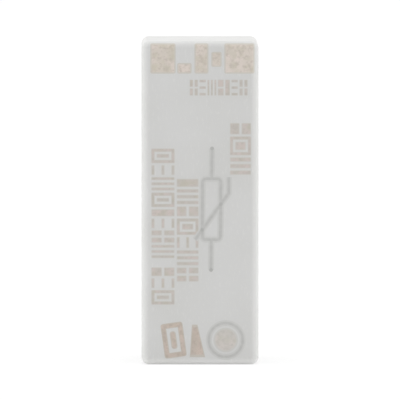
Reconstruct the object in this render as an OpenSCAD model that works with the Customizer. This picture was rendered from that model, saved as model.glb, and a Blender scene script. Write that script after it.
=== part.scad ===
// Plug-in varistor module, which limits the switching surge of a contactor coil.
// A moulded cap snaps over a contact carrier. The carrier holds two plug contacts and an epoxy-coated
// disc varistor, whose leads are soldered into the contacts' forked tails.
// X runs across the width, Y from the front face (-Y) to the plug contacts (+Y) and Z upwards.
// The origin is the middle of the seating face, which meets the contactor. Sizes are in millimetres.

/* [Housing cap] */
// Width of the housing, across its narrow front face
body_w = 13.75; // [12.75:0.25:16]
// Height of the housing
body_h = 38; // [36:0.5:44]
// Depth of the housing, from the front face to the seating face
body_d = 20; // [19.5:0.5:26]
// Thickness of the side and end walls
wall = 1.2; // [0.9:0.1:1.6]
// Thickness of the front wall
front_wall = 1.4; // [1:0.1:2]
// Radius of the housing's round edges and of the balls at its front corners
edge_r = 0.9; // [0.3:0.1:1.2]
// Thickness of the ribs that stand beside the varistor
rib_t = 1; // [0.6:0.1:1.4]
// Distance between the two ribs on one wall
rib_pitch = 9; // [8:0.25:11]
// Width of the block that stops the varistor at the front
stop_w = 2.4; // [1.6:0.2:4]
// Height of that block
stop_h = 4; // [3:0.5:6]

/* [Contact carrier] */
// Thickness of the carrier's floor, which closes the cap
floor_t = 1.8; // [1.4:0.1:2.2]
// Gap between the carrier and the cap, all round
fit_gap = 0.1; // [0.05:0.05:0.2]
// Distance between the two snap tongues on one side
tongue_pitch = 19; // [18:0.25:21]
// Width of a snap tongue
tongue_w = 4.4; // [3.8:0.2:5.2]
// Thickness of a snap tongue
tongue_t = 0.9; // [0.7:0.1:1.2]
// How far a snap tongue stands up from the seating face
tongue_h = 5; // [4.6:0.1:6.4]
// Width of the snap lug on each tongue
lug_w = 3.6; // [2.4:0.2:3.8]
// How far the snap lug stands out from its tongue
lug_out = 0.8; // [0.5:0.1:1]
// Length of the snap lug's ramp
lug_l = 1.6; // [1.2:0.1:2]
// Distance from the seating face to the window's catching edge
window_y = 2.6; // [2.4:0.1:2.8]
// Width of the cradle under the varistor
cradle_w = 4.4; // [3:0.2:4.8]
// Height of the cradle, which also keeps the two leads apart
cradle_h = 5.2; // [4:0.2:6]
// Distance between the two posts that the leads rest on
post_pitch = 18; // [15:0.5:21]
// Wall beside a contact in its plug collar
collar_side = 1.1; // [0.8:0.1:1.6]
// Wall above and below a contact in its plug collar
collar_face = 1.2; // [0.9:0.1:1.5]
// How far the plug collars stand out from the seating face
collar_out = 4; // [3.4:0.1:5.5]
// Chamfer at the end of the plug collars
collar_chamfer = 0.4; // [0.2:0.1:0.6]

/* [Plug contacts] */
// Distance between the two plug contacts
blade_pitch = 28; // [26:0.5:29]
// Width of a contact's blade
blade_w = 2.8; // [2.2:0.1:3.6]
// Thickness of the contact's sheet metal
blade_t = 0.8; // [0.5:0.1:1]
// How far a blade stands out from the seating face
blade_out = 8.5; // [7:0.5:12]
// Length of the chamfer at the blade's tip
tip_l = 1.2; // [0.6:0.1:2]
// Gap between a blade and its slot in the carrier
slot_gap = 0.05; // [0.02:0.01:0.1]
// Distance from the seating face to the locking wedge
wedge_y = 1; // [0.8:0.1:1.2]
// Length of the locking wedge on a blade
wedge_l = 1.8; // [1.2:0.1:1.9]
// Height of the locking wedge
wedge_h = 0.4; // [0.2:0.05:0.5]
// Width of the locking wedge
wedge_w = 1.2; // [0.8:0.1:1.4]

/* [Varistor] */
// Diameter of the zinc oxide disc
disc_d = 10; // [9:0.25:10.5]
// Thickness of the zinc oxide disc
disc_t = 2; // [1.2:0.1:2.4]
// Bare margin of the disc round each silver electrode
electrode_margin = 0.5; // [0.3:0.1:0.8]
// Thickness of a silver electrode
electrode_t = 0.1; // [0.05:0.05:0.15]
// Diameter of the lead wires
wire_d = 0.8; // [0.6:0.05:0.8]
// Distance between the two leads where they leave the coating
lead_pitch = 7.5; // [7:0.25:8]
// Radius of a lead's bend, at the middle of the wire
bend_r = 1.2; // [1:0.1:1.6]
// Height of the lead's run above the carrier's floor
run_lift = 1; // [0.8:0.1:1.6]
// Thickness of the coating over the leads
coat_cover = 0.45; // [0.35:0.05:0.6]
// Thickness of the coating round the rim of the disc
coat_rim = 1.25; // [1.1:0.05:1.5]

/* [Solder] */
// Thickness of the solder between a lead and its electrode
solder_film = 0.05; // [0.03:0.01:0.1]
// Radius of the solder cone on a contact's tail
solder_r = 1.1; // [0.8:0.05:1.3]
// Height of the solder cone
solder_h = 0.8; // [0.4:0.1:1.2]

/* [Hidden] */
$fn = 64;

// How far a rib, post or lug runs into the wall that carries it, and a cutter past the face it cuts
bite = 0.3;
// Gap between the varistor's coating and what holds it
seat_gap = 0.1;
// Radius inside the corners of the cap
inner_r = 0.3;
// Wall left round a window's lug, and round a wedge in its window
window_gap = 0.1;
// Metal or wall left outside a solder cone on the tail
tail_margin = 0.2;
// Straight wire between the coating and the bend
lead_stub = 0.2;
// Wire that shows past the solder at the tail
lead_trim = 0.4;
// Thickness of a lead post, and the wall beside its groove
post_t = 1;
// The lead's first bend starts inside the disc's rim by this much, along Y
kink_in = 1.1;
// From there the wire slants inwards over the electrode, on the slope of a 3-4-5 triangle
slant = 36.8699;
// Length of the slanted wire
slant_l = 5.2;
// Half widths of the solder on an electrode, at the electrode and at the middle of the wire
fillet_base = 0.8;
fillet_top = 0.55;
// Wire left bare of electrode solder at the lead's end, and the length of that solder
fillet_start = 0.4;
fillet_l = 3.4;
// Narrow end of a blade's tip
tip_w = 1.6;
// The coating runs down each lead: its start inside the disc's rim, and its thickness at either end
skirt_in = 3.5;
skirt_start = 0.4;
skirt_end = 0.12;

inner_w = body_w - 2 * wall;
inner_h = body_h - 2 * wall;
wire_r = wire_d / 2;
electrode_r = disc_d / 2 - electrode_margin;
electrode_x = disc_t / 2 + electrode_t;
lead_x = electrode_x + solder_film + wire_r;
lead_z = lead_pitch / 2;
coat_half = lead_x + wire_r + coat_cover;
coat_r = disc_d / 2 + coat_rim;
blade_z = blade_pitch / 2;
// Middle of the lead's run along the carrier
run_y = -floor_t - run_lift - wire_r;
bend_y = run_y - bend_r;
disc_y = bend_y - lead_stub - coat_r;
kink_y = disc_y + disc_d / 2 - kink_in;
lead_tip_z = blade_z + blade_t / 2 + solder_h + lead_trim;
tail_half = lead_x + solder_r + tail_margin;
tail_y = run_y - solder_r - tail_margin;
notch_r = wire_r + slot_gap;
tongue_x = inner_w / 2 - fit_gap;
lug_y = -window_y - window_gap;
collar_w = blade_w + 2 * collar_side;
collar_h = blade_t + 2 * collar_face;

light_grey = "#CFCFCC";
tin = "#B9B9B4";
silver = "#D9DADB";
solder_grey = "#A4A7AA";
zinc_oxide = "#4A4A48";
epoxy_blue = "#2F5FA3";

// A rectangle with round corners, centred on the origin
module rounded_rectangle(width, height, radius) {
    square([width - 2 * radius, height], center = true);
    square([width, height - 2 * radius], center = true);
    for (x = [-1, 1], y = [-1, 1])
        translate([x * (width / 2 - radius), y * (height / 2 - radius)])
            circle(radius);
}

// A box given by its lowest and highest corners
module box(low, high) {
    translate(low)
        cube(high - low);
}

// A round bar along X through the middle of the disc
module across_disc(radius, x0, x1) {
    translate([x0, disc_y, 0])
        rotate([0, 90, 0])
            cylinder(r = radius, h = x1 - x0);
}

// The same thing above and, turned half round about the plug direction, below
module half_turn(lower) {
    rotate([0, lower ? 180 : 0, 0])
        children();
}

// A block from y0 to y1 whose end is hollowed to hold the rim of the coated disc
module disc_saddle(width, height, y0, y1) {
    difference() {
        box([-width / 2, y0, -height / 2], [width / 2, y1, height / 2]);
        across_disc(coat_r + seat_gap, -width, width);
    }
}

// The cap's outer form: round bars along the edges of the front face, which meet in a ball at each corner
module cap_outside() {
    flat_w = body_w - 2 * edge_r;
    flat_h = body_h - 2 * edge_r;
    rotate([90, 0, 0]) {
        linear_extrude(body_d - edge_r)
            rounded_rectangle(body_w, body_h, edge_r);
        linear_extrude(body_d)
            square([flat_w, flat_h], center = true);
    }
    translate([0, edge_r - body_d, 0]) {
        for (x = [-1, 1] * flat_w / 2) {
            translate([x, 0, 0])
                cylinder(r = edge_r, h = flat_h, center = true);
            for (z = [-1, 1] * flat_h / 2)
                translate([x, 0, z])
                    sphere(edge_r);
        }
        for (z = [-1, 1] * flat_h / 2)
            translate([0, 0, z])
                rotate([0, 90, 0])
                    cylinder(r = edge_r, h = flat_w, center = true);
    }
}

module cap_cavity() {
    translate([0, bite, 0])
        rotate([90, 0, 0])
            linear_extrude(body_d - front_wall + bite)
                rounded_rectangle(inner_w, inner_h, inner_r);
}

// The window in each side wall that a snap lug catches in
module snap_windows() {
    window_w = lug_w + 2 * window_gap;
    window_end = lug_y - lug_l - window_gap;
    for (z = [-1, 1] * tongue_pitch / 2)
        box([-body_w, window_end, z - window_w / 2], [body_w, -window_y, z + window_w / 2]);
}

// Two ribs on each side wall stand beside the varistor and stop the carrier at their ends
module cap_ribs() {
    rib_x = coat_half + seat_gap;
    for (side = [0, 180], z = [-1, 1] * rib_pitch / 2)
        rotate([0, side, 0])
            box([rib_x, front_wall - body_d - bite, z - rib_t / 2],
                [inner_w / 2 + bite, -floor_t, z + rib_t / 2]);
}

module housing_cap() {
    color(light_grey) {
        difference() {
            cap_outside();
            cap_cavity();
            snap_windows();
        }
        cap_ribs();
        disc_saddle(stop_w, stop_h, front_wall - body_d - bite, disc_y - coat_r * 0.8);
    }
}

// A tongue at the carrier's edge, with the wedge-shaped lug that catches in the cap's window
module snap_tongue() {
    box([tongue_x - tongue_t, -tongue_h, -tongue_w / 2], [tongue_x, bite - floor_t, tongue_w / 2]);
    translate([tongue_x - bite, 0, -lug_w / 2])
        linear_extrude(lug_w)
            polygon([[0, lug_y - lug_l], [bite, lug_y - lug_l], [bite + lug_out, lug_y], [0, lug_y]]);
}

// A post with a round groove that the lead rests in
module lead_post() {
    post_z = post_pitch / 2;
    difference() {
        box([lead_x - notch_r - post_t / 2, run_y, post_z - post_t / 2],
            [lead_x + notch_r + post_t / 2, bite - floor_t, post_z + post_t / 2]);
        translate([lead_x, run_y, post_z - post_t])
            cylinder(r = notch_r, h = 2 * post_t);
    }
}

// The collar that leads a contact into the contactor: two chamfered profiles crossed
module plug_collar() {
    intersection() {
        translate([0, 0, blade_z - collar_h / 2])
            linear_extrude(collar_h)
                collar_profile(collar_w);
        translate([-collar_w / 2, 0, blade_z])
            rotate([90, 0, 90])
                linear_extrude(collar_w)
                    rotate(-90)
                        collar_profile(collar_h);
    }
}

module collar_profile(width) {
    half = width / 2;
    shoulder = collar_out - collar_chamfer;
    polygon([[-half, -bite], [half, -bite], [half, shoulder], [half - collar_chamfer, collar_out],
             [collar_chamfer - half, collar_out], [-half, shoulder]]);
}

// What the contact needs in the carrier: its slot, and a window where its locking wedge springs out
module contact_slot() {
    slot_w = blade_w + 2 * slot_gap;
    slot_t = blade_t + 2 * slot_gap;
    window_w = wedge_w + 2 * window_gap;
    box([-slot_w / 2, -floor_t - bite, blade_z - slot_t / 2],
        [slot_w / 2, collar_out + bite, blade_z + slot_t / 2]);
    box([-window_w / 2, wedge_y - window_gap, blade_z],
        [window_w / 2, wedge_y + wedge_l + window_gap, blade_z + collar_h]);
}

module contact_carrier() {
    color(light_grey) {
        difference() {
            union() {
                rotate([90, 0, 0])
                    linear_extrude(floor_t)
                        rounded_rectangle(inner_w - 2 * fit_gap, inner_h - 2 * fit_gap, inner_r);
                for (lower = [false, true])
                    half_turn(lower)
                        plug_collar();
            }
            for (lower = [false, true])
                half_turn(lower)
                    contact_slot();
        }
        for (lower = [false, true])
            half_turn(lower)
                lead_post();
        for (side = [0, 180], z = [-1, 1] * tongue_pitch / 2)
            rotate([0, side, 0])
                translate([0, 0, z])
                    snap_tongue();
        disc_saddle(cradle_w, cradle_h, disc_y + coat_r * 0.8, bite - floor_t);
    }
}

// A contact stamped from sheet: chamfered blade, shoulders on the carrier's floor, forked tail
module plug_contact() {
    color(tin) {
        translate([0, 0, blade_z - blade_t / 2])
            linear_extrude(blade_t)
                difference() {
                    polygon([[tip_w / 2, blade_out], [blade_w / 2, blade_out - tip_l],
                             [blade_w / 2, -floor_t], [tail_half, -floor_t],
                             [tail_half, tail_y], [-tail_half, tail_y],
                             [-tail_half, -floor_t], [-blade_w / 2, -floor_t],
                             [-blade_w / 2, blade_out - tip_l], [-tip_w / 2, blade_out]]);
                    wire_notch();
                }
        locking_wedge();
    }
}

module wire_notch() {
    translate([lead_x, run_y])
        circle(notch_r);
    translate([lead_x - notch_r, tail_y - bite])
        square([2 * notch_r, run_y - tail_y + bite]);
}

// A wedge coined out of the blade, which keeps the contact from being pushed back into the module
module locking_wedge() {
    translate([-wedge_w / 2, 0, blade_z])
        rotate([90, 0, 90])
            linear_extrude(wedge_w)
                polygon([[wedge_y, 0], [wedge_y + wedge_l, 0], [wedge_y + wedge_l, blade_t / 2],
                         [wedge_y, blade_t / 2 + wedge_h]]);
}

module varistor_disc() {
    color(zinc_oxide)
        across_disc(disc_d / 2, -disc_t / 2, disc_t / 2);
}

module electrode() {
    color(silver)
        across_disc(electrode_r, disc_t / 2, electrode_x);
}

// Places children in the plane of a lead, with local X upwards and local Y to the front
module lead_plane(y, z) {
    translate([lead_x, y, z])
        rotate([180, -90, 0])
            children();
}

module bent_wire(angle) {
    rotate_extrude(angle = angle)
        translate([bend_r, 0])
            circle(wire_r);
}

// Places children so that local Z runs along the slanted wire towards its end, and local Y to the disc
module along_slant() {
    lead_plane(kink_y, lead_z - bend_r)
        rotate([0, 0, slant])
            translate([bend_r, 0, 0])
                rotate([-90, 0, 0])
                    children();
}

// The lead: slanted over the electrode, straight out of the coating, round a bend and along the carrier
module lead_wire() {
    along_slant()
        cylinder(r = wire_r, h = slant_l);
    lead_plane(kink_y, lead_z - bend_r)
        bent_wire(slant);
    lead_plane(kink_y, lead_z)
        rotate([90, 0, 0])
            cylinder(r = wire_r, h = bend_y - kink_y);
    lead_plane(bend_y, lead_z + bend_r)
        rotate([0, 0, 180])
            bent_wire(90);
    translate([lead_x, run_y, lead_z + bend_r])
        cylinder(r = wire_r, h = lead_tip_z - lead_z - bend_r);
}

module lead() {
    color(tin)
        lead_wire();
}

// Solder that wets the electrode on both sides of the wire
module electrode_solder() {
    depth = lead_x - electrode_x;
    color(solder_grey)
        difference() {
            along_slant()
                translate([0, 0, slant_l - fillet_start - fillet_l])
                    linear_extrude(fillet_l)
                        polygon([[-fillet_base, depth], [-fillet_top, 0],
                                 [fillet_top, 0], [fillet_base, depth]]);
            lead_wire();
        }
}

// The coating runs a little way down the lead
module coating_skirt() {
    skirt_y = disc_y + disc_d / 2 - skirt_in;
    translate([lead_x, skirt_y, lead_z])
        rotate([-90, 0, 0])
            cylinder(r1 = wire_r + skirt_start, r2 = wire_r + skirt_end, h = disc_y + coat_r - skirt_y);
}

// The round-edged coating, less the disc, electrodes, solder and leads inside it
module epoxy_coating() {
    color(epoxy_blue)
        difference() {
            union() {
                translate([0, disc_y, 0])
                    rotate([0, 90, 0])
                        rotate_extrude()
                            coating_profile();
                for (lower = [false, true])
                    half_turn(lower)
                        coating_skirt();
            }
            varistor_disc();
            for (lower = [false, true])
                half_turn(lower) {
                    electrode();
                    electrode_solder();
                    lead_wire();
                }
        }
}

module coating_profile() {
    translate([0, -coat_half])
        square([coat_r - coat_half, 2 * coat_half]);
    intersection() {
        translate([coat_r - coat_half, 0])
            circle(coat_half);
        translate([0, -coat_half])
            square([coat_r, 2 * coat_half]);
    }
}

// Solder that fills the notch round the lead and rises in a cone on both faces of the tail
module tail_solder() {
    color(solder_grey)
        difference() {
            union() {
                for (face = [-1, 1])
                    translate([lead_x, run_y, blade_z + face * blade_t / 2])
                        rotate([face < 0 ? 180 : 0, 0, 0])
                            cylinder(r1 = solder_r, r2 = wire_r + skirt_end, h = solder_h);
                translate([0, 0, blade_z - blade_t / 2])
                    linear_extrude(blade_t)
                        intersection() {
                            wire_notch();
                            translate([lead_x, run_y])
                                circle(solder_r);
                        }
            }
            lead_wire();
        }
}

housing_cap();
contact_carrier();
half_turn(false) plug_contact();  // upper_contact
half_turn(true) plug_contact();  // lower_contact
varistor_disc();
half_turn(false) electrode();  // upper_electrode
half_turn(true) electrode();  // lower_electrode
half_turn(false) electrode_solder();  // upper_electrode_solder
half_turn(true) electrode_solder();  // lower_electrode_solder
half_turn(false) lead();  // upper_lead
half_turn(true) lead();  // lower_lead
epoxy_coating();
half_turn(false) tail_solder();  // upper_tail_solder
half_turn(true) tail_solder();  // lower_tail_solder
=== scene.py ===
"""Plug-in varistor module: the finishes of its pieces, the print on its front face and the studio.

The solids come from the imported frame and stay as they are. This script dresses each of them in what the
real piece is made of, lays the print on the front face as thin plates that follow its rounded edges, and sets
the floor, the lamps and the camera. Sizes in the classes are in millimetres, and Blender's own are in metres.
"""

import logging
import math
from dataclasses import dataclass, field
from enum import Enum
from typing import Any, Mapping, Sequence

import bpy
import numpy as np
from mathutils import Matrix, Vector


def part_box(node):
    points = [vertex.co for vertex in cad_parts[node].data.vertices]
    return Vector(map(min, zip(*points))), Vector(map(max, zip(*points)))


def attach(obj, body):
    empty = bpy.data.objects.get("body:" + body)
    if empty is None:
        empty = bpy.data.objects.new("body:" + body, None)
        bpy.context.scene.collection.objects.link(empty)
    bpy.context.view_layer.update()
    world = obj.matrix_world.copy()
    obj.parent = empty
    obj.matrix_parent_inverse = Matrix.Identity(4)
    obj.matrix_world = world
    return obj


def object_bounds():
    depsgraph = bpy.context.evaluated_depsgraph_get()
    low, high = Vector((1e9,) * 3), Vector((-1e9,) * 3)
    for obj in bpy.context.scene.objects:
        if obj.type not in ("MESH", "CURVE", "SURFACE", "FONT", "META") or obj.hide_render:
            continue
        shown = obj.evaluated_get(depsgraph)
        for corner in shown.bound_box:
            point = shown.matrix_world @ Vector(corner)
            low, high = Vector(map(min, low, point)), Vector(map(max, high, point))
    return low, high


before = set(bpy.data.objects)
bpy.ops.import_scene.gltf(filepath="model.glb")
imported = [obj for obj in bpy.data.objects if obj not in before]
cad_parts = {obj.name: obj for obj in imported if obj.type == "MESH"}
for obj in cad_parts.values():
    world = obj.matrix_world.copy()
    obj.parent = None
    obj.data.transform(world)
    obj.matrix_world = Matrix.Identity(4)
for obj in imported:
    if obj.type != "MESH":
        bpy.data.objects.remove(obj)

log = logging.getLogger("varistor_module")

MM = 0.001
# How much of the darker edge a point of a printed plate shows, kept on its mesh
RIM = "rim"
# A noise texture's values lie mostly between these two
NOISE_LOW, NOISE_HIGH = 0.3, 0.7
# Radius that a printed corner keeps however far it is inset
SHARPEST_BEND = 0.01

# Node sockets by the names of the shader's inputs that they feed
Sockets = dict[str, bpy.types.NodeSocket]

# The solids' box, from before anything is added
CAD_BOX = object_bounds()


def linear(hex_colour: str) -> tuple[float, float, float, float]:
    """Turns an sRGB hex colour into Blender's linear colour.

    Args:
        hex_colour: the colour as "#RRGGBB".

    Returns:
        Red, green, blue and an alpha of 1, linear.
    """
    srgb = np.array([int(hex_colour[i : i + 2], 16) for i in (1, 3, 5)]) / 255
    value = np.where(srgb <= 0.04045, srgb / 12.92, ((srgb + 0.055) / 1.055) ** 2.4)
    return (*value.tolist(), 1.0)


def add_node(
    tree: bpy.types.NodeTree,
    kind: str,
    inputs: Mapping[str | int, Any] | None = None,
    **settings: Any,
) -> bpy.types.Node:
    """Adds a node, sets its properties, and fills or links its inputs.

    Args:
        tree: the node tree that the node goes into.
        kind: Blender's name of the node's type.
        inputs: for each input, by name or number, a value or the socket that feeds it.
        settings: the node's own properties.

    Returns:
        The new node.
    """
    node = tree.nodes.new(kind)
    for name, value in settings.items():
        setattr(node, name, value)
    for key, value in (inputs or {}).items():
        if isinstance(value, bpy.types.NodeSocket):
            tree.links.new(value, node.inputs[key])
        else:
            node.inputs[key].default_value = value
    return node


def per_metre(size_mm: float) -> float:
    """Gives a noise texture's scale for features of this size, with coordinates in metres."""
    return 1.0 / (size_mm * MM)


def empty_tree(owner: bpy.types.Material | bpy.types.World) -> bpy.types.NodeTree:
    """Gives a material or a world a node tree with nothing in it.

    Args:
        owner: the material or the world.

    Returns:
        Its node tree.
    """
    owner.use_nodes = True
    owner.node_tree.nodes.clear()
    return owner.node_tree


def into_scene(name: str, data: bpy.types.ID) -> bpy.types.Object:
    """Puts a mesh, a lamp or a camera into the scene.

    Args:
        name: the object's name.
        data: the mesh, the lamp or the camera.

    Returns:
        The object.
    """
    made = bpy.data.objects.new(name, data)
    bpy.context.scene.collection.objects.link(made)
    return made


def face_target(
    made: bpy.types.Object, target: Vector, azimuth: float, elevation: float, distance: float
) -> None:
    """Sets a lamp or a camera down in a direction from its target, and turns it to face it.

    Azimuth 0 is the front, and seen from above it grows anticlockwise. The direction is the sine and the
    negative cosine of the azimuth, times the cosine of the elevation, with the sine of the elevation upwards.

    Args:
        made: the lamp or the camera.
        target: what it faces, in metres.
        azimuth: the direction's turn about the vertical, in degrees.
        elevation: its height over the horizon, in degrees.
        distance: how far it lies from the target, in millimetres.
    """
    a, e = math.radians(azimuth), math.radians(elevation)
    away = Vector((math.sin(a) * math.cos(e), -math.cos(a) * math.cos(e), math.sin(e)))
    made.location = target + away * distance * MM
    made.rotation_mode = "QUATERNION"
    made.rotation_quaternion = away.to_track_quat("Z", "Y")


@dataclass(frozen=True)
class Blotches:
    """Soft blotches of a second colour, which grow where a noise runs high."""

    colour: str
    size_mm: float
    # The noise where they start and where they are full, and their most
    start: float = NOISE_LOW
    full: float = NOISE_HIGH
    most: float = 1.0
    detail: float = 1.5
    roughness: float = 0.5

    def over(
        self, tree: bpy.types.NodeTree, place: bpy.types.NodeSocket, under: Any
    ) -> tuple[bpy.types.NodeSocket, bpy.types.NodeSocket]:
        """Adds the blotches over a colour.

        Args:
            tree: the material's node tree.
            place: the coordinates, in metres.
            under: the colour under them, linear, or the socket that gives it.

        Returns:
            The sockets of the mixed colour and of the noise.
        """
        noise = add_node(
            tree,
            "ShaderNodeTexNoise",
            {
                "Vector": place,
                "Scale": per_metre(self.size_mm),
                "Detail": self.detail,
                "Roughness": self.roughness,
            },
        ).outputs["Fac"]
        share = add_node(
            tree,
            "ShaderNodeMapRange",
            {"Value": noise, "From Min": self.start, "From Max": self.full, "To Max": self.most},
        )
        mixed = add_node(
            tree,
            "ShaderNodeMix",
            {"Factor": share.outputs["Result"], "A": under, "B": linear(self.colour)},
            data_type="RGBA",
        )
        return mixed.outputs["Result"], noise


@dataclass(frozen=True)
class Finish:
    """What every finish has: its name and its look when nothing varies."""

    name: str
    colour: str
    roughness: float
    ior: float = 1.5
    metallic: float = 0.0

    def material(self) -> bpy.types.Material:
        """Builds the material.

        Returns:
            A node material with a Principled BSDF, with this finish's pattern added by its kind.
        """
        made = bpy.data.materials.new(self.name)
        tree = empty_tree(made)
        shader = add_node(
            tree,
            "ShaderNodeBsdfPrincipled",
            {
                "Base Color": linear(self.colour),
                "Roughness": self.roughness,
                "Metallic": self.metallic,
                "IOR": self.ior,
            },
        )
        add_node(tree, "ShaderNodeOutputMaterial", {"Surface": shader.outputs["BSDF"]})
        place = add_node(tree, "ShaderNodeTexCoord").outputs["Object"]
        for name, socket in self.pattern(tree, place).items():
            tree.links.new(socket, shader.inputs[name])
        return made

    def pattern(self, tree: bpy.types.NodeTree, place: bpy.types.NodeSocket) -> Sockets:
        """Adds what varies over the surface.

        Args:
            tree: the material's node tree.
            place: the object coordinates, in metres.

        Returns:
            What feeds the shader's inputs.
        """
        return {}


@dataclass(frozen=True)
class MouldedPolyamide(Finish):
    """Glass-filled polyamide from a spark-eroded mould: dull, finely grained, its tone drifting a little."""

    drift_colour: str = "#CBCBC9"
    # Fill and flow in the mould change the tone over several millimetres
    drift_mm: float = 7.0
    # Glass fibres near the skin leave faint short flecks, along the flow up the housing
    flecks: Blotches = Blotches("#D6D6D4", 0.45, start=0.56, full=0.74, most=0.5, detail=2.0)
    fleck_scale: tuple[float, float, float] = (2.0, 2.0, 0.7)
    # Spark-eroded grain is about 0.05 mm wide. It is drawn three times coarser, so that it shows.
    grain_mm: float = 0.15
    grain_depth_mm: float = 0.004
    # The grain makes the roughness this much lower and higher
    spread: tuple[float, float] = (-0.05, 0.06)

    def pattern(self, tree: bpy.types.NodeTree, place: bpy.types.NodeSocket) -> Sockets:
        """Adds the tone drift, the fibre flecks and the grain's bump and roughness.

        Args:
            tree: the material's node tree.
            place: the object coordinates, in metres.

        Returns:
            What feeds the shader's inputs.
        """
        drift = Blotches(self.drift_colour, self.drift_mm, detail=3.0, roughness=0.45)
        tone, _ = drift.over(tree, place, linear(self.colour))
        along = add_node(tree, "ShaderNodeMapping", {"Vector": place, "Scale": self.fleck_scale})
        flecked, _ = self.flecks.over(tree, along.outputs["Vector"], tone)
        grain = add_node(
            tree,
            "ShaderNodeTexNoise",
            {"Vector": place, "Scale": per_metre(self.grain_mm), "Detail": 2.0, "Roughness": 0.6},
        )
        dullness = add_node(
            tree,
            "ShaderNodeMapRange",
            {
                "Value": grain.outputs["Fac"],
                "From Min": NOISE_LOW,
                "From Max": NOISE_HIGH,
                "To Min": self.roughness + self.spread[0],
                "To Max": self.roughness + self.spread[1],
            },
        )
        bump = add_node(
            tree,
            "ShaderNodeBump",
            {"Height": grain.outputs["Fac"], "Strength": 1.0, "Distance": self.grain_depth_mm * MM},
        )
        return {
            "Base Color": flecked,
            "Roughness": dullness.outputs["Result"],
            "Normal": bump.outputs["Normal"],
        }


@dataclass(frozen=True)
class Tinned(Finish):
    """Tin over brass or copper: a soft pale metal with a satin bloom and the fine lines of its rolling."""

    metallic: float = 1.0
    # Tin freezes with a faint bloom, a millimetre or two across
    bloom: Blotches = Blotches("#C3BFB4", 1.6, start=0.0, full=1.0, detail=4.0, roughness=0.6)
    # The bloom makes the roughness this much lower and higher
    spread: tuple[float, float] = (-0.06, 0.1)
    # Rolling and drawing lines are about 0.02 mm apart. They are drawn at 0.12 mm, so that they show.
    line_mm: float = 0.12
    line_depth_mm: float = 0.0015
    # The lines run along the axis with the small number
    line_scale: tuple[float, float, float] = (1.0, 0.04, 1.0)

    def pattern(self, tree: bpy.types.NodeTree, place: bpy.types.NodeSocket) -> Sockets:
        """Adds the bloom's colour and roughness, and the lines' bump.

        Args:
            tree: the material's node tree.
            place: the object coordinates, in metres.

        Returns:
            What feeds the shader's inputs.
        """
        tone, bloom = self.bloom.over(tree, place, linear(self.colour))
        satin = add_node(
            tree,
            "ShaderNodeMapRange",
            {
                "Value": bloom,
                "From Min": NOISE_LOW,
                "From Max": NOISE_HIGH,
                "To Min": self.roughness + self.spread[0],
                "To Max": self.roughness + self.spread[1],
            },
        )
        along = add_node(tree, "ShaderNodeMapping", {"Vector": place, "Scale": self.line_scale})
        lines = add_node(
            tree,
            "ShaderNodeTexNoise",
            {"Vector": along.outputs["Vector"], "Scale": per_metre(self.line_mm), "Detail": 2.0},
        )
        bump = add_node(
            tree,
            "ShaderNodeBump",
            {"Height": lines.outputs["Fac"], "Strength": 1.0, "Distance": self.line_depth_mm * MM},
        )
        return {"Base Color": tone, "Roughness": satin.outputs["Result"], "Normal": bump.outputs["Normal"]}


@dataclass(frozen=True)
class Grained(Finish):
    """Grains in two tones, raised a little: fired ceramic, silver paste, solder or dipped epoxy."""

    second_colour: str = "#808080"
    grain_mm: float = 0.1
    depth_mm: float = 0.004
    # 0 gives soft swells and 1 gives hard-edged grains
    crispness: float = 0.5
    # The noise where one tone starts to turn into the other, and where it has
    turn: tuple[float, float] = (0.35, 0.65)

    def pattern(self, tree: bpy.types.NodeTree, place: bpy.types.NodeSocket) -> Sockets:
        """Adds the grains' two tones and their bump.

        Args:
            tree: the material's node tree.
            place: the object coordinates, in metres.

        Returns:
            What feeds the shader's inputs.
        """
        # The crisper the grains, the more and the stronger their fine detail
        grains = Blotches(
            self.second_colour,
            self.grain_mm,
            *self.turn,
            detail=1.0 + 3.0 * self.crispness,
            roughness=0.3 + 0.4 * self.crispness,
        )
        tone, height = grains.over(tree, place, linear(self.colour))
        bump = add_node(
            tree, "ShaderNodeBump", {"Height": height, "Strength": 1.0, "Distance": self.depth_mm * MM}
        )
        return {"Base Color": tone, "Normal": bump.outputs["Normal"]}


@dataclass(frozen=True)
class LaserMark(Finish):
    """Laser marking in pale plastic: tan in soft blotches, with a greyer edge where the beam turns."""

    # Where the plastic foamed it is paler and rosier, and where it scorched it is yellower and darker
    foam_colour: str = "#D5CBC3"
    scorch_colour: str = "#C3BDAD"
    edge_colour: str = "#C6C2BA"
    # The beam's passes leave blotches of a few spot widths
    foam_mm: float = 1.3
    scorch_mm: float = 0.9
    # A laser spot is about 0.08 mm wide. It is drawn four times wider, so that it shows.
    spot_mm: float = 0.32
    spot_colour: str = "#BAB0A6"

    def pattern(self, tree: bpy.types.NodeTree, place: bpy.types.NodeSocket) -> Sockets:
        """Adds the blotches, the spots and the edge, which follows the mesh's rim attribute.

        Args:
            tree: the material's node tree.
            place: the object coordinates, in metres.

        Returns:
            What feeds the shader's inputs.
        """
        mixed: Any = linear(self.colour)
        layers = (
            Blotches(self.foam_colour, self.foam_mm, start=0.38, full=0.62),
            Blotches(self.scorch_colour, self.scorch_mm, start=0.48, full=0.70, most=0.8),
            Blotches(self.spot_colour, self.spot_mm, start=0.46, full=0.72, most=0.7),
        )
        for layer in layers:
            mixed, _ = layer.over(tree, place, mixed)
        rim = add_node(tree, "ShaderNodeAttribute", attribute_name=RIM)
        edged = add_node(
            tree,
            "ShaderNodeMix",
            {"Factor": rim.outputs["Fac"], "A": mixed, "B": linear(self.edge_colour)},
            data_type="RGBA",
        )
        return {"Base Color": edged.outputs["Result"]}


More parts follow.
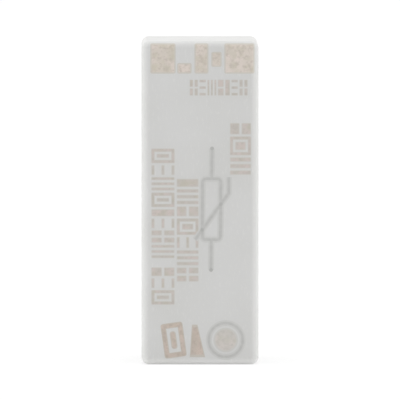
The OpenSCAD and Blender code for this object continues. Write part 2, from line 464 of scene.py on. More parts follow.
class Tone(Enum):
    """The finishes that the module's pieces have."""

    # Light grey and dull, and on the carrier a little yellower, as from another batch
    CAP = MouldedPolyamide("moulded_polyamide_cap", "#CFCFCE", 0.52)
    CARRIER = MouldedPolyamide("moulded_polyamide_carrier", "#CDCDC9", 0.56, drift_colour="#C8C8C3")
    # Satin, with the lines of rolling along the blades and of drawing along the wires
    TINNED_BRASS = Tinned("tin_plated_brass", "#CCCAC3", 0.3)
    TINNED_COPPER = Tinned("tinned_copper_wire", "#CDC9C1", 0.26, line_scale=(1.0, 1.0, 0.04))
    # Pressed and fired: nearly black and chalky
    ZINC_OXIDE = Grained(
        "fired_zinc_oxide", "#4A4B49", 0.75, ior=1.9, second_colour="#3C3D3B", grain_mm=0.09, crispness=0.9
    )
    # Screened and fired: a pale metal with a fine tooth
    SILVER = Grained(
        "fired_silver_paste", "#DCDBD8", 0.42, metallic=0.9, second_colour="#CFCDC8", grain_mm=0.16,
        crispness=0.7,
    )
    # Frozen from the melt: bright and smooth
    SOLDER = Grained(
        "tin_solder", "#C4C5C6", 0.22, metallic=1.0, second_colour="#B4B6B9", grain_mm=0.5, crispness=0.1
    )
    # Dipped and cured: glossy blue with gentle swells
    EPOXY = Grained(
        "dipped_epoxy", "#2F5FA3", 0.2, ior=1.55, second_colour="#2A5796", grain_mm=0.8, depth_mm=0.02,
        crispness=0.1,
    )
    # The slower the beam, the darker its mark: the ring's disc and the broad fields at the top stay pale,
    # the lines of print are darker, and the strokes at the foot are browner and darkest
    LASER_FIELD = LaserMark("laser_marked_field", "#CDC5BB", 0.6)
    LASER_STROKE = LaserMark(
        "laser_marked_stroke", "#BFBAB4", 0.6, foam_colour="#C7BDB8", scorch_colour="#BAB6A9",
        spot_colour="#B5AFA8", edge_colour="#C6C4BF",
    )
    LASER_DEEP = LaserMark(
        "deeply_laser_marked_stroke", "#BCB1A7", 0.6, foam_colour="#C6B8AE", scorch_colour="#B7AD9E",
        spot_colour="#AEA298", edge_colour="#C0BBB3",
    )
    LASER_FAINT = LaserMark(
        "faintly_laser_marked_field", "#C5C1BC", 0.6, foam_colour="#CBC5C0", scorch_colour="#C0BDB3",
        spot_colour="#B9B5AF", edge_colour="#C6C5C1",
    )
    # The beam darkens the middle of a line most, and the heat beside it only tints the plastic
    LINE_EDGE = Grained(
        "grey_marking_line_edge", "#C4C4C2", 0.56, second_colour="#C7C7C5", grain_mm=0.5, depth_mm=0.0,
        crispness=0.4,
    )
    LINE = Grained(
        "grey_marking_line", "#B6B6B4", 0.58, second_colour="#BCBCBA", grain_mm=0.5, depth_mm=0.0,
        crispness=0.4,
    )
    # Where two strokes of the beam cross or end, it marks the plastic twice
    TWICE_MARKED = Grained(
        "grey_marking_line_crossing", "#ABABA9", 0.58, second_colour="#B1B1AF", grain_mm=0.5, depth_mm=0.0,
        crispness=0.4,
    )


class Finishes:
    """Builds each finish once and hands it out."""

    def __init__(self) -> None:
        """Starts with nothing built."""
        self.built: dict[Tone, bpy.types.Material] = {}

    def get(self, tone: Tone) -> bpy.types.Material:
        """Gives a tone's material, built the first time that it is asked for.

        Args:
            tone: the finish.

        Returns:
            Its material.
        """
        if tone not in self.built:
            self.built[tone] = tone.value.material()
        return self.built[tone]


@dataclass(frozen=True)
class FrontFace:
    """The cap's front face with the round along its four sides, which the print follows."""

    half_width: float
    half_height: float
    front: float
    edge_radius: float = 0.9
    # The round is followed this far, because at its very end it falls back steeply
    followed: float = 0.98

    @classmethod
    def of_cap(cls) -> "FrontFace":
        """Reads the face's place from the cap in the frame."""
        low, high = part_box("housing_cap")
        return cls((high[0] - low[0]) / 2 / MM, (high[2] - low[2]) / 2 / MM, low[1] / MM)

    def depth(self, outline: np.ndarray) -> np.ndarray:
        """Works out how far the face lies behind its flat part.

        Within the radius of a side the face falls back as a quarter circle: radius minus the root of the
        radius squared less the square of how far the point is into the round. At a corner, where two sides'
        rounds meet in a ball, the squares of both count.

        Args:
            outline: points as (x, z), in the last axis.

        Returns:
            The depth at each point.
        """
        flat = np.array([self.half_width, self.half_height]) - self.edge_radius
        into = np.linalg.norm(np.clip(np.abs(outline) - flat, 0.0, None), axis=-1)
        into = np.minimum(into, self.followed * self.edge_radius)
        return self.edge_radius - np.sqrt(self.edge_radius**2 - into**2)


def rounded_outline(
    width: np.ndarray | float,
    height: np.ndarray | float,
    corner: float,
    inset: float = 0.0,
    arc: int = 4,
    run: int = 7,
) -> np.ndarray:
    """Draws rounded rectangles round the origin, anticlockwise as seen from the front.

    Each corner is a quarter circle about a centre that lies the corner's radius in from both sides, and an
    inset moves every side in and shortens the radius by the same length. Each side between two corners is cut
    into equal runs, so that it can follow a curved face.

    Args:
        width: one width for each outline.
        height: one height for each outline.
        corner: radius of the corners.
        inset: how far the outline lies inside the given size.
        arc: points on each corner.
        run: points between two corners.

    Returns:
        An array of outlines by points by (x, z).
    """
    sides = np.broadcast_arrays(np.atleast_1d(width), np.atleast_1d(height))
    size = np.stack(sides, axis=-1) - 2 * inset
    bend = max(corner - inset, SHARPEST_BEND)
    angle = np.arange(4)[:, None] * math.pi / 2 + np.linspace(0, math.pi / 2, arc)
    quarter = np.array([[1, 1], [-1, 1], [-1, -1], [1, -1]])
    centre = quarter * (size[:, None, :] / 2 - bend)
    corners = centre[:, :, None, :] + bend * np.stack([np.cos(angle), np.sin(angle)], axis=-1)
    start, end = corners[:, :, -1:, :], np.roll(corners[:, :, :1, :], -1, axis=1)
    along = (np.arange(1, run + 1) / (run + 1))[:, None]
    between = start + (end - start) * along
    return np.concatenate([corners, between], axis=2).reshape(len(size), -1, 2)


def circle_outline(radius: float, inset: float = 0.0, points: int = 72) -> np.ndarray:
    """Draws a circle round the origin, anticlockwise as seen from the front.

    The points are the cosine and sine of evenly spread angles, times the radius less the inset.

    Args:
        radius: the circle's radius.
        inset: how far the outline lies inside it.
        points: how many points it has.

    Returns:
        One outline, as 1 by points by (x, z).
    """
    angle = np.arange(points) * math.tau / points
    return (radius - inset) * np.stack([np.cos(angle), np.sin(angle)], axis=-1)[None]


def stroke_outline(path: Sequence[tuple[float, float]], width: float) -> np.ndarray:
    """Draws the outline of a stroke along a bent path, anticlockwise as seen from the front.

    At each point the two sides lie half the width away along the mean of the neighbouring segments' normals,
    divided by the cosine of half the bend, so that the stroke keeps its width.

    Args:
        path: the points of the stroke's middle line, as (x, z).
        width: width of the stroke.

    Returns:
        One outline, as 1 by points by (x, z).
    """
    points = np.array(path, float)
    ahead = np.diff(points, axis=0)
    ahead /= np.linalg.norm(ahead, axis=1, keepdims=True)
    normal = np.stack([-ahead[:, 1], ahead[:, 0]], axis=-1)
    mean = np.concatenate([normal[:1], normal[:-1] + normal[1:], normal[-1:]])
    mean /= np.linalg.norm(mean, axis=1, keepdims=True)
    closest = np.concatenate([normal[:1], normal])
    reach = (width / 2) / np.sum(mean * closest, axis=1, keepdims=True)
    left, right = points + mean * reach, points - mean * reach
    return np.concatenate([right, left[::-1]])[None]


def turned(outline: np.ndarray, degrees: float) -> np.ndarray:
    """Turns outlines about the origin in the plane of the face, anticlockwise as seen from the front."""
    c, s = math.cos(math.radians(degrees)), math.sin(math.radians(degrees))
    return outline @ np.array([[c, s], [-s, c]])


@dataclass
class PlateMesh:
    """Closed thin plates that lie on the front face, gathered into one mesh."""

    face: FrontFace
    # The plates start this far under the face and stand this far proud of it
    sink: float = 0.03
    proud: float = 0.014
    # Size of a plate's innermost ring, as a share of its outline
    hub: float = 0.06
    points: list[np.ndarray] = field(default_factory=list)
    rims: list[np.ndarray] = field(default_factory=list)
    faces: list[Sequence[int]] = field(default_factory=list)
    count: int = 0

    def add(self, rings: np.ndarray, rim: Sequence[float], closed: bool) -> None:
        """Adds one plate to each outline.

        The rings follow one another from the back edge over the front to the middle. Neighbouring rings are
        joined by quads. A solid plate is closed by one many-sided face at either end of the stack, and a band
        by joining its last ring to its first.

        Args:
            rings: rings by outlines by points by (x, y, z).
            rim: each ring's share of the darker edge.
            closed: whether the plate is a band with a hole, whose last ring meets its first.
        """
        stack, outlines, points = rings.shape[:3]
        number = self.count + np.arange(stack * outlines * points).reshape(stack, outlines, points)
        upper = np.roll(number, -1, axis=0) if closed else number[1:]
        lower = number if closed else number[:-1]
        quads = np.stack([lower, np.roll(lower, -1, axis=2), np.roll(upper, -1, axis=2), upper], axis=-1)
        self.faces += quads.reshape(-1, 4).tolist()
        if not closed:
            self.faces += number[0, :, ::-1].tolist()
            self.faces += number[-1].tolist()
        self.points.append(rings.reshape(-1, 3))
        self.rims.append(np.repeat(np.asarray(rim, float), outlines * points))
        self.count += number.size

    def raised(self, outline: np.ndarray, level: float) -> np.ndarray:
        """Gives points as (x, z) their place along Y: the face's own depth there, less the level above it."""
        depth = self.face.front + self.face.depth(outline) - level
        return np.stack([outline[..., 0], depth, outline[..., 1]], axis=-1)

    def plates(self, outer: np.ndarray, inner: np.ndarray, steps: int = 4) -> None:
        """Adds solid plates, whose edge tone lies between two outlines.

        Inside the second outline, rings shrink in equal steps towards each plate's middle, so that the plate
        follows the face.

        Args:
            outer: the plates' outlines.
            inner: where the edge tone ends.
            steps: how many rings shrink inside it.
        """
        middle = inner.mean(axis=1, keepdims=True)
        shares = np.linspace(1.0, self.hub, steps + 1)[1:]
        shrink = [middle + share * (inner - middle) for share in shares]
        top = ((outer + inner) / 2, inner, *shrink)
        rings = [self.raised(outer, -self.sink), self.raised(outer, self.proud)]
        rings += [self.raised(one, self.proud) for one in top]
        self.add(np.stack(rings), (1.0, 1.0, 1.0, *[0.0] * (len(top) - 1)), closed=False)

    def bands(self, rings: Sequence[np.ndarray]) -> None:
        """Adds flat bands with a hole.

        Args:
            rings: their outlines from outside to inside: the outer edge, where its darker tone ends, where
                the inner edge's starts, and the inner edge.
        """
        first, last = rings[0], rings[-1]
        stack = [self.raised(first, -self.sink), *(self.raised(one, self.proud) for one in rings)]
        stack.append(self.raised(last, -self.sink))
        self.add(np.stack(stack), (1.0, 1.0, *[0.0] * (len(rings) - 2), 1.0, 1.0), closed=True)

    def mesh(self, name: str) -> bpy.types.Mesh:
        """Turns the plates into a mesh.

        Args:
            name: the mesh's name.

        Returns:
            The mesh, in metres, with the rim attribute.
        """
        made = bpy.data.meshes.new(name)
        made.from_pydata((np.concatenate(self.points) * MM).tolist(), [], self.faces)
        rim = made.attributes.new(RIM, "FLOAT", "POINT")
        rim.data.foreach_set("value", np.concatenate(self.rims).astype(np.float32))
        made.update()
        return made


def place_piece(mesh: bpy.types.Mesh, material: bpy.types.Material) -> bpy.types.Object:
    """Puts a finished mesh into the scene, riding on the module.

    Args:
        mesh: the piece's mesh, whose name it takes.
        material: its finish.

    Returns:
        The object.
    """
    mesh.materials.clear()
    mesh.materials.append(material)
    made = into_scene(mesh.name, mesh)
    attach(made, "root")
    log.info("%s: %d corners, %d faces", made.name, len(mesh.vertices), len(mesh.polygons))
    return made


class Tile(Enum):
    """The plain shapes that stand in a line of print, each with its share of the line's length."""

    BLOCK = ("block", 0.7)
    CORED = ("cored", 1.4)
    BARS = ("bars", 0.95)
    PAIR = ("pair", 0.85)
    QUAD = ("quad", 1.2)
    POSTS = ("posts", 1.3)
    SPACE = ("space", 0.5)


class Direction(Enum):
    """Which way a line of print runs, as the angle that turns it from level."""

    ACROSS = 0.0
    UPWARDS = 90.0


@dataclass(frozen=True)
class TileLine:
    """A line of print on the front face, made of plain shapes."""

    name: str
    # Where the line starts, on its middle
    start: tuple[float, float]
    length: float
    height: float
    tiles: tuple[Tile, ...]
    direction: Direction = Direction.UPWARDS
    gap: float = 0.22
    stroke: float = 0.4
    corner: float = 0.12
    edge: float = 0.12

    def rectangles(self) -> tuple[np.ndarray, np.ndarray]:
        """Works out the rectangles that make up the tiles.

        The line's length less its gaps is shared out among the tiles, and each starts where those before it
        end. A cored tile is a frame with a core inside, bars are three strokes along the line, posts are
        three across it, a pair is two halves, and a quad is four quarters.

        Returns:
            The solid rectangles and the frames, as rows of middle along the line, middle across it, width
            and height.
        """
        share = np.array([tile.value[1] for tile in self.tiles])
        width = share * (self.length - self.gap * (len(share) - 1)) / share.sum()
        middle = np.cumsum(width + self.gap) - self.gap - width / 2
        half = (self.height - self.gap) / 2
        up = (half + self.gap) / 2
        lift = (self.height - self.stroke) / 2
        solids, frames = [], []
        for tile, at, wide in zip(self.tiles, middle, width):
            aside = (wide - self.gap) / 2
            if tile is Tile.BLOCK:
                solids.append((at, 0.0, wide, self.height))
            elif tile is Tile.BARS:
                solids += [(at, k * lift, wide, self.stroke) for k in (-1, 0, 1)]
            elif tile is Tile.POSTS:
                post = (wide - 2 * self.gap) / 3
                solids += [(at + k * (post + self.gap), 0.0, post, self.height) for k in (-1, 0, 1)]
            elif tile is Tile.PAIR:
                solids += [(at, k * up, wide, half) for k in (-1, 1)]
            elif tile is Tile.QUAD:
                sides = [(i * (aside + self.gap) / 2, k * up) for i in (-1, 1) for k in (-1, 1)]
                solids += [(at + along, across, aside, half) for along, across in sides]
            elif tile is Tile.CORED:
                clear = 2 * (self.stroke + self.gap)
                frames.append((at, 0.0, wide, self.height))
                solids.append((at, 0.0, wide - clear, self.height - clear))
        return np.array(solids).reshape(-1, 4), np.array(frames).reshape(-1, 4)

    def on_face(self, rows: np.ndarray, inset: float) -> np.ndarray:
        """Draws rectangles with this inset and sets them down along the line, on the face.

        Args:
            rows: the rectangles, as rectangles() gives them.
            inset: how far the outlines lie inside them.

        Returns:
            Their outlines.
        """
        shape = rounded_outline(rows[:, 2], rows[:, 3], self.corner, inset) + rows[:, None, :2]
        return turned(shape, self.direction.value) + np.array(self.start)

    def add_to(self, plates: PlateMesh) -> None:
        """Lays the line's shapes on the face.

        Args:
            plates: the mesh that takes them.
        """
        solids, frames = self.rectangles()
        if len(solids):
            plates.plates(self.on_face(solids, 0.0), self.on_face(solids, self.edge))
        if len(frames):
            insets = (0.0, self.edge, self.stroke - self.edge, self.stroke)
            plates.bands([self.on_face(frames, inset) for inset in insets])


@dataclass(frozen=True)
class LargeMarks:
    """The large shapes along the top edge of the face, which run over its round."""

    # Middle across, middle up, width and height of each block
    blocks: tuple[tuple[float, float, float, float], ...] = (
        (-4.35, 16.97, 2.97, 3.55),
        (-1.83, 15.82, 1.69, 1.25),
        (0.17, 16.97, 1.64, 3.55),
        (1.93, 16.87, 1.22, 1.76),
        (4.63, 16.97, 3.55, 3.55),
    )
    corner: float = 0.2
    edge: float = 0.2
    # Rings and points close enough together to follow the round
    steps: int = 14
    run: int = 14

    def add_to(self, plates: PlateMesh) -> None:
        """Lays the blocks on the face.

        Args:
            plates: the mesh that takes them.
        """
        rows = np.array(self.blocks)
        outer, inner = (
            rounded_outline(rows[:, 2], rows[:, 3], self.corner, inset, run=self.run) + rows[:, None, :2]
            for inset in (0.0, self.edge)
        )
        plates.plates(outer, inner, self.steps)


@dataclass(frozen=True)
class FootMarks:
    """The shapes along the lower end of the face: a leaning frame with a core, a wedge, a ring and a disc."""

    middle: tuple[float, float] = (-3.1, -16.12)
    width: float = 2.6
    height: float = 4.1
    stroke: float = 0.62
    core_width: float = 0.72
    core_height: float = 2.1
    lean: float = 8.0
    wedge: tuple[tuple[float, float], ...] = ((-1.2, -18.12), (0.6, -18.12), (-0.3, -14.3), (-0.95, -14.3))
    # The edge tone ends at this share of the wedge
    wedge_core: float = 0.8
    ring_middle: tuple[float, float] = (3.02, -16.1)
    ring_radius: float = 2.33
    # Width of the ring's line and of its darker middle
    ring_stroke: float = 0.68
    ring_core: float = 0.29
    disc_radius: float = 1.44
    corner: float = 0.3
    edge: float = 0.14

    def leaning(self, width: float, height: float, inset: float) -> np.ndarray:
        """Draws a rounded rectangle with this inset round the leaning frame's middle."""
        return turned(rounded_outline(width, height, self.corner, inset), self.lean) + self.middle

    def around(self, radius: float, inset: float) -> np.ndarray:
        """Draws a circle with this inset round the ring's middle."""
        return circle_outline(radius, inset) + self.ring_middle

    def add_strokes(self, plates: PlateMesh) -> None:
        """Lays the leaning frame with its core, and the wedge, on the face.

        Args:
            plates: the mesh that takes them.
        """
        insets = (0.0, self.edge, self.stroke - self.edge, self.stroke)
        plates.bands([self.leaning(self.width, self.height, inset) for inset in insets])
        core = (self.leaning(self.core_width, self.core_height, inset) for inset in insets[:2])
        plates.plates(*core)
        wedge = np.array(self.wedge)[None]
        middle = wedge.mean(axis=1, keepdims=True)
        plates.plates(wedge, middle + (wedge - middle) * self.wedge_core)

    def add_disc(self, plates: PlateMesh) -> None:
        """Lays the disc in the ring on the face."""
        plates.plates(self.around(self.disc_radius, 0.0), self.around(self.disc_radius, 2 * self.edge))

    def ring_line(self, width: float) -> list[np.ndarray]:
        """Draws the ring's line with this width, as outlines close enough together to follow the round."""
        insets = self.ring_stroke / 2 + width * np.linspace(-0.5, 0.5, 5)
        return [self.around(self.ring_radius, float(inset)) for inset in insets]

    def add_ring(self, plates: PlateMesh) -> None:
        """Lays the ring on the face."""
        plates.bands(self.ring_line(self.ring_stroke))

    def add_ring_core(self, plates: PlateMesh) -> None:
        """Lays the darker middle of the ring's line on the ring."""
        plates.bands(self.ring_line(self.ring_core))


@dataclass(frozen=True)
class VaristorSymbol:
    """The circuit symbol of a varistor: a resistor with its two leads and the bent stroke across it."""

    # Middle of the resistor's box
    middle: tuple[float, float] = (1.35, -0.735)
    # Size of the box between the middles of its lines, and the radius of its corners there
    box_width: float = 2.14
    box_height: float = 7.16
    box_corner: float = 0.42
    # Width of the lines, and of their darker middle
    line: float = 0.72
    core: float = 0.33
    # How far the leads reach from the middle
    reach: float = 7.14
    # The bent stroke, from its foot down to its lower end, from the middle of the box
    stroke: tuple[tuple[float, float], ...] = ((2.01, 3.78), (2.02, 1.92), (-1.89, -3.58))
    # The darker round spots at the leads' ends and where the bent stroke crosses the box
    spot: float = 0.44
    spot_points: int = 36
    # The symbol is printed slightly askew
    lean: float = -0.46

    def shells(self, face: FrontFace, line: float, proud: float) -> list[PlateMesh]:
        """Makes each of the symbol's strokes as a closed shell of its own.

        Args:
            face: the face that they lie on.
            line: width of the strokes.
            proud: how far they stand out from the face.

        Returns:
            The box first, then the leads and the bent stroke.
        """
        half = line / 2
        outer = rounded_outline(self.box_width + line, self.box_height + line, self.box_corner + half)
        inner = rounded_outline(self.box_width - line, self.box_height - line, self.box_corner - half)
        made = [PlateMesh(face, proud=proud)]
        made[0].bands([self.set_down(outer), self.set_down(inner)])
        top = self.box_height / 2
        paths = (((0.0, top), (0.0, self.reach)), ((0.0, -self.reach), (0.0, -top)), self.stroke)
        for path in paths:
            shell = PlateMesh(face, proud=proud)
            outline = self.set_down(stroke_outline(path, line))
            rings = [shell.raised(outline, level) for level in (-shell.sink, shell.proud)]
            shell.add(np.stack(rings), (0.0, 0.0), closed=False)
            made.append(shell)
        return made

    def set_down(self, outline: np.ndarray) -> np.ndarray:
        """Turns an outline by the symbol's lean and moves it to its place."""
        return turned(outline, self.lean) + np.array(self.middle)

    def add_spots(self, plates: PlateMesh) -> None:
        """Lays the darker spots over the strokes.

        The bent stroke's straight part meets the middle of each long side of the box where its share of the
        way across, from one end to the other, is the same as its share of the way down.

        Args:
            plates: the mesh that takes them.
        """
        (near_x, near_z), (far_x, far_z) = self.stroke[1:]
        side = np.array([1.0, -1.0]) * self.box_width / 2
        down = near_z + (side - near_x) / (far_x - near_x) * (far_z - near_z)
        across, along = np.append(side, (0.0, 0.0)), np.append(down, (self.reach, -self.reach))
        middles = np.stack([across, along], axis=-1)
        outer, inner = (
            self.set_down(circle_outline(self.spot / 2, inset, self.spot_points) + middles[:, None])
            for inset in (0.0, self.spot / 4)
        )
        plates.plates(outer, inner, steps=1)

    def mesh(self, name: str, shells: Sequence[PlateMesh]) -> bpy.types.Mesh:
        """Joins the strokes into one closed shell, by the exact union of their solids.

        Args:
            name: the mesh's name.
            shells: the strokes.

        Returns:
            The mesh of their union.
        """
        parts = [into_scene("stroke", shell.mesh("stroke")) for shell in shells]
        for part in parts[1:]:
            union = parts[0].modifiers.new("union", "BOOLEAN")
            union.operation, union.solver, union.object = "UNION", "EXACT", part
        solved = parts[0].evaluated_get(bpy.context.evaluated_depsgraph_get())
        made = bpy.data.meshes.new_from_object(solved)
        made.name = name
        for part in parts:
            strokes = part.data
            bpy.data.objects.remove(part)
            bpy.data.meshes.remove(strokes)
        return made


@dataclass(frozen=True)
class FrontPrint:
    """What is printed on the module's front face, all of it generic."""

    large: LargeMarks = LargeMarks()
    foot: FootMarks = FootMarks()
    symbol: VaristorSymbol = VaristorSymbol()
    lines: tuple[TileLine, ...] = (
        TileLine(
            "short_line", (-1.22, 13.55), 6.82, 1.88,
            (Tile.QUAD, Tile.BARS, Tile.POSTS, Tile.PAIR, Tile.BLOCK, Tile.BARS, Tile.QUAD),
            Direction.ACROSS, gap=0.16, stroke=0.34, corner=0.08, edge=0.08,
        ),
        TileLine(
            "side_line", (4.755, 3.3), 6.1, 2.5, (Tile.POSTS, Tile.CORED, Tile.PAIR)
        ),
        TileLine(
            "long_line", (-4.35, -11.95), 18.35, 2.75,
            (
                Tile.CORED, Tile.BARS, Tile.PAIR, Tile.SPACE, Tile.POSTS, Tile.QUAD, Tile.BARS, Tile.BLOCK,
                Tile.CORED, Tile.POSTS, Tile.BARS, Tile.CORED,
            ),
        ),
        TileLine(
            "middle_line", (-1.45, -9.25), 12.1, 2.6,
            (Tile.QUAD, Tile.POSTS, Tile.BARS, Tile.CORED, Tile.PAIR, Tile.POSTS, Tile.BLOCK),
        ),
    )
    # How far the marks, the symbol's lines, the lines' darker middles and the spots stand out from the face
    levels: tuple[float, float, float, float] = (0.014, 0.02, 0.026, 0.032)

    def build(self, finishes: Finishes) -> None:
        """Makes the lines, the marks and the symbol as pieces on the cap's front face.

        Args:
            finishes: where the finishes are built.
        """
        face = FrontFace.of_cap()
        symbol = self.symbol
        marks, edges, cores, spots = self.levels
        layers = [(f"print_{line.name}", line.add_to, marks, Tone.LASER_STROKE) for line in self.lines]
        layers += [
            ("print_large_marks", self.large.add_to, marks, Tone.LASER_FIELD),
            ("print_foot_strokes", self.foot.add_strokes, marks, Tone.LASER_DEEP),
            ("print_foot_disc", self.foot.add_disc, marks, Tone.LASER_FAINT),
            ("print_foot_ring", self.foot.add_ring, edges, Tone.LINE_EDGE),
            ("print_foot_ring_core", self.foot.add_ring_core, cores, Tone.LINE),
            ("print_symbol_spots", symbol.add_spots, spots, Tone.TWICE_MARKED),
        ]
        for name, lay, level, tone in layers:
            plates = PlateMesh(face, proud=level)
            lay(plates)
            place_piece(plates.mesh(name), finishes.get(tone))
        for name, line, level, tone in (
            ("print_symbol", symbol.line, edges, Tone.LINE_EDGE),
            ("print_symbol_core", symbol.core, cores, Tone.LINE),
        ):
            mesh = symbol.mesh(name, symbol.shells(face, line, level))
            place_piece(mesh, finishes.get(tone))


class SubAssembly:
    """Solids of the frame that belong together and need only their finish."""

    def tones(self) -> dict[str, Tone]:
        """Gives each solid's finish by the solid's name."""
        raise NotImplementedError

    def dress(self, finishes: Finishes) -> None:
        """Gives each solid its finish.

        Args:
            finishes: where the finishes are built.
        """
        for node, tone in self.tones().items():
            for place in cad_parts[node].material_slots:
                place.material = finishes.get(tone)
            log.info("%s: %s in %s", type(self).__name__, node, tone.value.name)


@dataclass(frozen=True)
class Housing(SubAssembly):
    """The moulded cap and the carrier that closes it."""

    cap: Tone = Tone.CAP
    carrier: Tone = Tone.CARRIER

    def tones(self) -> dict[str, Tone]:
        """Gives the housing's finishes."""
        return {"housing_cap": self.cap, "contact_carrier": self.carrier}


@dataclass(frozen=True)
class PlugContacts(SubAssembly):
    """The two stamped plug contacts."""

    plating: Tone = Tone.TINNED_BRASS

    def tones(self) -> dict[str, Tone]:
        """Gives the contacts' finish."""
        return {"upper_contact": self.plating, "lower_contact": self.plating}


@dataclass(frozen=True)
class CoatedVaristor(SubAssembly):
    """The fired disc with its electrodes, leads, solder and coating."""

    disc: Tone = Tone.ZINC_OXIDE
    electrode: Tone = Tone.SILVER
    solder: Tone = Tone.SOLDER
    lead: Tone = Tone.TINNED_COPPER
    coating: Tone = Tone.EPOXY

    def tones(self) -> dict[str, Tone]:
        """Gives the varistor's finishes. The disc and its coating are single, and the rest comes in pairs.

        Returns:
            The finish of each solid.
        """
        made = {"varistor_disc": self.disc, "epoxy_coating": self.coating}
        for end in ("upper", "lower"):
            made[f"{end}_electrode"] = self.electrode
            made[f"{end}_electrode_solder"] = self.solder
            made[f"{end}_lead"] = self.lead
            made[f"{end}_tail_solder"] = self.solder
        return made


@dataclass(frozen=True)
class SoftBox:
    """A rectangular studio lamp behind a diffuser, which faces the module."""

    name: str
    # Direction from the module, its distance, and its size across and up
    azimuth: float
    elevation: float
    distance: float
    width: float
    height: float
    # What it adds to the light on a surface that faces it, where 1 shows a colour as written
    light: float

    def build(self) -> None:
        """Makes the lamp.

        A surface that faces it gets its power, divided by pi times the distance squared. A surface shows its
        colour as written when it gets pi, so pi times the light is wanted.
        """
        lamp = bpy.data.lights.new(self.name, "AREA")
        lamp.shape = "RECTANGLE"
        lamp.size, lamp.size_y = self.width * MM, self.height * MM
        lamp.energy = self.light * (math.pi * self.distance * MM) ** 2
        made = into_scene(self.name, lamp)
        face_target(made, Vector(), self.azimuth, self.elevation, self.distance)
        # The tinned pieces mirror the surround, and not the lamps, which would wash them out
        made.visible_glossy = False
        log.info("%s: %.3f W", self.name, lamp.energy)


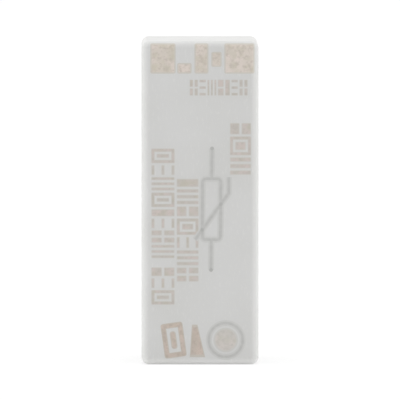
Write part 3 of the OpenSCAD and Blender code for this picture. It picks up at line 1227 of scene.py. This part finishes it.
@dataclass(frozen=True)
class Studio:
    """A white acrylic table, an even white surround, two soft boxes and two strip lamps."""

    table_side: float = 6000.0
    # Light from all round, on the same scale as a soft box's light
    surround: float = 0.418
    # Opal acrylic, lit softly from below as a still-life table is: its own colour, and the light through it
    acrylic: str = "#E0E0E0"
    glow: float = 0.457
    # The camera sees the table white, with this share of the light and shade that fall on it
    shadow_share: float = 0.3
    # How bright the table is where nothing shades it, on the same scale as a soft box's light
    open_table: float = 1.13
    # How bright the camera sees it there, where 1 is white
    table_white: float = 1.01
    # Large boxes far away light the table evenly, and the tall strips bring out the rounds of the sides
    boxes: tuple[SoftBox, ...] = (
        SoftBox("overhead_box", 0.0, 85.0, 5000.0, 3000.0, 3000.0, 0.64),
        SoftBox("rear_box", 180.0, 60.0, 5000.0, 3000.0, 3000.0, 0.13),
        SoftBox("left_strip", -90.0, 10.0, 5000.0, 600.0, 3000.0, 0.5),
        SoftBox("right_strip", 90.0, 10.0, 5000.0, 600.0, 3000.0, 0.44),
    )

    def build(self) -> None:
        """Makes the table, the surround and the lamps."""
        self.build_table()
        self.build_surround()
        for box in self.boxes:
            box.build()
        bpy.context.scene.view_settings.view_transform = "Standard"

    def build_table(self) -> None:
        """Makes the table under the module's lower end."""
        half = self.table_side / 2 * MM
        level = float(CAD_BOX[0][2])
        mesh = bpy.data.meshes.new("table")
        corners = [(-half, -half, level), (half, -half, level), (half, half, level), (-half, half, level)]
        mesh.from_pydata(corners, [], [(0, 1, 2, 3)])
        mesh.materials.append(self.acrylic_material())
        table = into_scene("table", mesh)

    def seen_directly(self, tree: bpy.types.NodeTree) -> bpy.types.NodeSocket:
        """Gives 1 for rays that show the background as such: from the camera, or mirrored or passed on.

        Args:
            tree: the node tree of the table or the world.

        Returns:
            The socket with the share.
        """
        path = add_node(tree, "ShaderNodeLightPath").outputs
        share = path["Is Camera Ray"]
        for other in ("Is Glossy Ray", "Is Transmission Ray"):
            either = add_node(tree, "ShaderNodeMath", {0: share, 1: path[other]}, operation="MAXIMUM")
            share = either.outputs[0]
        return share

    def acrylic_material(self) -> bpy.types.Material:
        """Builds the acrylic: matt and softly lit from below, and white with a faint shadow for the camera.

        Returns:
            The material.
        """
        made = bpy.data.materials.new("opal_acrylic_table")
        tree = empty_tree(made)
        white = (1.0, 1.0, 1.0, 1.0)
        matt = add_node(tree, "ShaderNodeBsdfDiffuse", {"Color": linear(self.acrylic)})
        through = add_node(tree, "ShaderNodeEmission", {"Color": white, "Strength": self.glow})
        lit = add_node(tree, "ShaderNodeAddShader", {0: matt.outputs[0], 1: through.outputs[0]})
        shaded = add_node(tree, "ShaderNodeBsdfDiffuse", {"Color": (*[self.shadow_share] * 3, 1.0)})
        rest = self.table_white - self.shadow_share * self.open_table
        fill = add_node(tree, "ShaderNodeEmission", {"Color": white, "Strength": rest})
        seen = add_node(tree, "ShaderNodeAddShader", {0: shaded.outputs[0], 1: fill.outputs[0]})
        either = add_node(
            tree,
            "ShaderNodeMixShader",
            {"Fac": self.seen_directly(tree), 1: lit.outputs[0], 2: seen.outputs[0]},
        )
        add_node(tree, "ShaderNodeOutputMaterial", {"Surface": either.outputs[0]})
        return made

    def build_surround(self) -> None:
        """Makes the even surround, white where it is seen and softer as a light."""
        world = bpy.data.worlds.new("white_surround")
        bpy.context.scene.world = world
        tree = empty_tree(world)
        strength = add_node(
            tree,
            "ShaderNodeMapRange",
            {"Value": self.seen_directly(tree), "To Min": self.surround, "To Max": 1.0},
        )
        light = add_node(
            tree,
            "ShaderNodeBackground",
            {"Color": (1.0, 1.0, 1.0, 1.0), "Strength": strength.outputs["Result"]},
        )
        add_node(tree, "ShaderNodeOutputWorld", {"Surface": light.outputs[0]})


@dataclass(frozen=True)
class ProductCamera:
    """The photograph's camera: a long lens a little above the module and a little to its left."""

    azimuth: float = -0.2
    elevation: float = 2.25
    distance: float = 2000.0
    # The picture is 400 pixels each way, and this many of them show a millimetre of the front face
    picture: int = 400
    scale: float = 8.518
    sensor: float = 36.0
    # Height of the picture's centre above the middle of the front face
    aim_height: float = 0.35

    def build(self) -> None:
        """Makes the camera, with the lens that gives the wanted scale at the front face."""
        low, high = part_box("housing_cap")
        target = Vector(((low[0] + high[0]) / 2, low[1], (low[2] + high[2]) / 2 + self.aim_height * MM))
        data = bpy.data.cameras.new("product_camera")
        data.sensor_width = self.sensor
        data.lens = self.scale * self.distance * self.sensor / self.picture
        data.clip_start, data.clip_end = 0.01, 100.0
        made = into_scene("product_camera", data)
        face_target(made, target, self.azimuth, self.elevation, self.distance)
        bpy.context.scene.camera = made
        log.info("lens %.0f mm", data.lens)


def main() -> None:
    """Dresses the module, prints its front and sets the studio."""
    logging.basicConfig(level=logging.INFO, format="%(name)s: %(message)s")
    finishes = Finishes()
    for assembly in (Housing(), PlugContacts(), CoatedVaristor()):
        assembly.dress(finishes)
    FrontPrint().build(finishes)
    Studio().build()
    ProductCamera().build()


if __name__ == "__main__":
    main()
